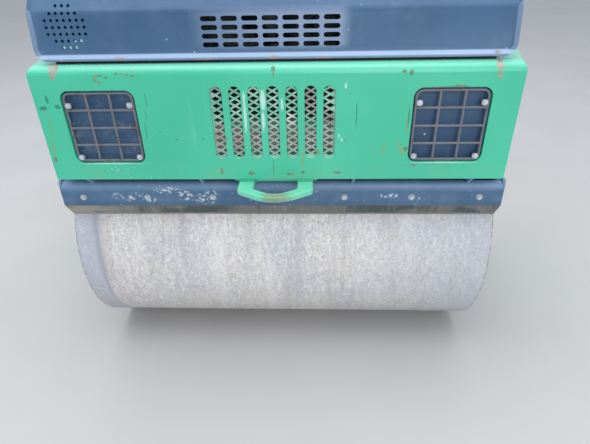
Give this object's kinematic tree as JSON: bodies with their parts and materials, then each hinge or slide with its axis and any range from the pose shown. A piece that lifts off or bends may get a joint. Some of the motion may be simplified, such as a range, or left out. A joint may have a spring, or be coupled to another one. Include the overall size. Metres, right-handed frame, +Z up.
{
  "type": "articulated tandem road roller",
  "caption": "Ride-on road roller with smooth steel drums under two frames joined at a steering knuckle, lifting engine hood, seat, console and water tank.",
  "frame": {"origin": "on the ground, midway between the two drum axles and on the machine's centre line", "axes": "+X to the machine's left seen from the seat facing the engine, -Y towards the engine end, +Z up"},
  "size_m": [1.288, 2.6558, 1.516],
  "materials": {
    "green_paint": "worn gloss paint with rust spots",
    "blue_paint": "faded dark blue paint",
    "guard_steel": "grey paint, rusting",
    "dark_steel": "dull dark paint with grime",
    "galvanised_steel": "dull galvanised",
    "drum_steel": "dusty worn steel",
    "radiator_core": "black fins",
    "engine_iron": "painted casting",
    "buffer_rubber": "black rubber",
    "cylinder_paint": "black paint",
    "rod_chrome": "polished",
    "black_plastic": "grained",
    "seat_vinyl": "black vinyl, matt",
    "rail_paint": "dark blue paint"
  },
  "bodies": {
    "front_frame": {"front_end_panel": "green_paint", "front_side_plates": "green_paint", "front_deck": "green_paint", "front_cross_wall": "green_paint", "front_lamp_plates": "blue_paint", "front_lamp_guards": "guard_steel", "front_tow_loop": "green_paint", "front_scraper_beam": "blue_paint", "front_scraper_blade": "dark_steel", "front_spray_bar": "galvanised_steel", "front_hub_mounts": "dark_steel", "screen_mesh": "galvanised_steel", "radiator": "radiator_core", "engine": "engine_iron", "cowl": "blue_paint", "hood_buffers": "buffer_rubber"},
    "front_drum": {"front_drum": "drum_steel"},
    "hood": {"hood": "blue_paint"},
    "knuckle": {"steer_knuckle": "green_paint"},
    "cylinder_barrel": {"steer_barrel": "cylinder_paint"},
    "cylinder_rod": {"steer_rod": "rod_chrome"},
    "rear_frame": {"rear_end_panel": "green_paint", "rear_side_plates": "green_paint", "rear_deck": "green_paint", "rear_cross_wall": "green_paint", "rear_lamp_plates": "blue_paint", "rear_lamp_guards": "guard_steel", "rear_tow_loop": "green_paint", "rear_scraper_beam": "blue_paint", "rear_scraper_blade": "dark_steel", "rear_spray_bar": "galvanised_steel", "rear_hub_mounts": "dark_steel", "rear_top": "green_paint", "platform": "dark_steel", "console": "blue_paint", "drive_lever": "black_plastic", "seat_frame": "blue_paint", "seat_cushion": "seat_vinyl", "seat_back": "seat_vinyl", "hand_rails": "rail_paint", "water_tank": "blue_paint", "tank_cap": "black_plastic"},
    "rear_drum": {"rear_drum": "drum_steel"},
    "steering_wheel": {"steering_wheel": "black_plastic"}
  },
  "joints": [
    {"name": "front_drum_spin", "type": "hinge", "parent": "front_frame", "child": "front_drum", "pos_m": [0, -0.85, 0.35], "axis": [1, 0, 0], "continuous": true},
    {"name": "hood_lift", "type": "hinge", "parent": "front_frame", "child": "hood", "pos_m": [0, -0.439, 1.332], "axis": [-1, 0, 0], "range_deg": [0, 55]},
    {"name": "steer", "type": "hinge", "parent": "front_frame", "child": "knuckle", "pos_m": [0, 0, 0.447], "axis": [0, 0, 1], "range_deg": [-30, 30]},
    {"name": "barrel_swing", "type": "hinge", "parent": "front_frame", "child": "cylinder_barrel", "pos_m": [-0.12, -0.345, 0.447], "axis": [0, 0, 1], "range_deg": [-6, 6]},
    {"name": "rod_slide", "type": "slide", "parent": "cylinder_barrel", "child": "cylinder_rod", "axis": [-0.0605, 0.9982, 0], "range_m": [-0.08, 0.08]},
    {"name": "frame_roll", "type": "hinge", "parent": "knuckle", "child": "rear_frame", "pos_m": [0, 0.25, 0.447], "axis": [0, 1, 0], "range_deg": [-8, 8]},
    {"name": "rear_drum_spin", "type": "hinge", "parent": "rear_frame", "child": "rear_drum", "pos_m": [0, 0.85, 0.35], "axis": [1, 0, 0], "continuous": true},
    {"name": "steering_wheel_turn", "type": "hinge", "parent": "rear_frame", "child": "steering_wheel", "pos_m": [0, 0.31256, 1.30283], "axis": [0, 0.4226, 0.9063], "continuous": true}
  ],
  "couplings": [
    {"joint": "barrel_swing", "follows": "steer", "ratio": 0.1696},
    {"joint": "rod_slide", "follows": "steer", "m_per_rad": -0.13704}
  ]
}
